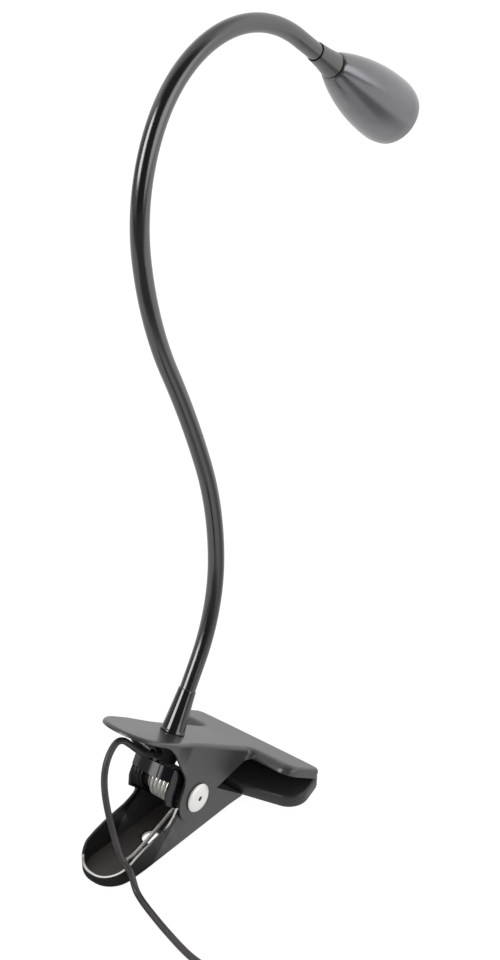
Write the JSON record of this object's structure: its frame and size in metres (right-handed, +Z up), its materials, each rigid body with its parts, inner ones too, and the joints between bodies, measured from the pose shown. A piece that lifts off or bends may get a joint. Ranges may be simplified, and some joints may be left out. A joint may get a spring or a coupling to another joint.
{
  "type": "clip-on reading lamp",
  "caption": "Clip-on reading lamp: wide-jawed spring clamp, sleeved gooseneck with bending joints, small bullet LED head, low-voltage cord with in-line switch and plug-in driver.",
  "frame": {"origin": "on the surface that the clamp stands on, straight below the axis of its pivot, midway between its ears", "axes": "+X forward to the jaws, +Y to the left, +Z up"},
  "size_m": [0.3445, 0.1677, 0.3771],
  "materials": {
    "clamp_steel": "satin nickel",
    "pad_rubber": "matt black moulded rubber",
    "liner": "matt black",
    "pivot_metal": "bright nickel",
    "washer": "bright nickel",
    "nylon": "natural nylon",
    "spring_steel": "drawn wire, zinc plated",
    "cover": "glossy black",
    "ferrule": "glossy black",
    "plated_steel": "zinc plated",
    "relief": "matt black",
    "neck_sleeve": "glossy black sleeve",
    "neck_core": "wound steel",
    "wire": "insulated wire",
    "head_metal": "satin grey paint",
    "heat_sink": "as cast",
    "board_white": "white solder mask",
    "emitter": "phosphor",
    "reflector": "mirror",
    "lens": "clear moulded",
    "cord": "satin dark grey",
    "tie": "matt black",
    "case": "fine spark texture",
    "rocker": "satin",
    "circuit": "green board",
    "pin": "nickel plated"
  },
  "bodies": {
    "clamp_lower": {"lower_shell": "clamp_steel", "lower_jaw_pad": "pad_rubber", "handle_liner": "liner", "pivot_rivet": "pivot_metal", "pivot_washers": "washer", "pivot_sleeve": "nylon", "torsion_spring": "spring_steel", "cord_run": "cord", "cord_coil": "cord", "coil_tie": "tie", "cord_tail": "cord", "switch_base": "case", "switch_cover": "case", "driver_base": "case", "driver_cover": "case", "driver_board": "circuit", "plug_pins": "pin"},
    "clamp_upper": {"upper_shell": "clamp_steel", "upper_jaw_pad": "pad_rubber", "spring_cover": "cover", "base_ferrule": "ferrule", "threaded_stud": "plated_steel", "lock_nut": "plated_steel", "strain_relief": "relief", "cord_lead": "cord", "neck_sleeve_0": "neck_sleeve", "neck_core_0": "neck_core", "neck_lead_0": "wire"},
    "neck_1": {"neck_sleeve_1": "neck_sleeve", "neck_core_1": "neck_core", "neck_lead_1": "wire"},
    "neck_2": {"neck_sleeve_2": "neck_sleeve", "neck_core_2": "neck_core", "neck_lead_2": "wire"},
    "neck_3": {"neck_sleeve_3": "neck_sleeve", "neck_core_3": "neck_core", "neck_lead_3": "wire"},
    "neck_4": {"neck_sleeve_4": "neck_sleeve", "neck_core_4": "neck_core", "neck_lead_4": "wire"},
    "neck_5": {"neck_sleeve_5": "neck_sleeve", "neck_core_5": "neck_core", "neck_lead_5": "wire"},
    "neck_6": {"neck_sleeve_6": "neck_sleeve", "neck_core_6": "neck_core", "neck_lead_6": "wire"},
    "neck_7": {"neck_sleeve_7": "neck_sleeve", "neck_core_7": "neck_core", "neck_lead_7": "wire", "head_collar": "ferrule", "head_shell": "head_metal", "heat_sink": "heat_sink", "led_board": "board_white", "led_emitter": "emitter", "led_wires": "wire", "reflector": "reflector", "lens": "lens", "lens_ring": "ferrule"},
    "rocker": {"switch_rocker": "rocker"}
  },
  "joints": [
    {"name": "jaw_hinge", "type": "hinge", "parent": "clamp_lower", "child": "clamp_upper", "pos_m": [0, 0, 0.0225], "axis": [0, -1, 0], "range_deg": [0, 30], "stiffness_Nm_per_rad": 1.1, "springref_deg": -34.38, "deforming": ["torsion_spring", "cord_lead"]},
    {"name": "neck_bend_1", "type": "hinge", "parent": "clamp_upper", "child": "neck_1", "pos_m": [0.01908, 0, 0.08451], "axis": [0, 1, 0], "range_deg": [-20, 20]},
    {"name": "neck_side_2", "type": "hinge", "parent": "neck_1", "child": "neck_2", "pos_m": [0.03395, 0, 0.13471], "axis": [0.9998, 0, -0.0175], "range_deg": [-20, 20]},
    {"name": "neck_bend_3", "type": "hinge", "parent": "neck_2", "child": "neck_3", "pos_m": [0.0257, 0, 0.1868], "axis": [0, 1, 0], "range_deg": [-20, 20]},
    {"name": "neck_bend_4", "type": "hinge", "parent": "neck_3", "child": "neck_4", "pos_m": [0.00543, 0, 0.23573], "axis": [0, 1, 0], "range_deg": [-20, 20]},
    {"name": "neck_side_5", "type": "hinge", "parent": "neck_4", "child": "neck_5", "pos_m": [-0.00911, 0, 0.28642], "axis": [0.9945, 0, 0.1045], "range_deg": [-20, 20]},
    {"name": "neck_bend_6", "type": "hinge", "parent": "neck_5", "child": "neck_6", "pos_m": [0.0013, 0, 0.33755], "axis": [0, 1, 0], "range_deg": [-20, 20]},
    {"name": "neck_bend_7", "type": "hinge", "parent": "neck_6", "child": "neck_7", "pos_m": [0.04148, 0, 0.37009], "axis": [0, 1, 0], "range_deg": [-20, 20]},
    {"name": "switch_rocker_tilt", "type": "hinge", "parent": "clamp_lower", "child": "rocker", "pos_m": [-0.118, -0.069, 0.0108], "axis": [1, 0, 0], "range_deg": [-16, 0]}
  ]
}
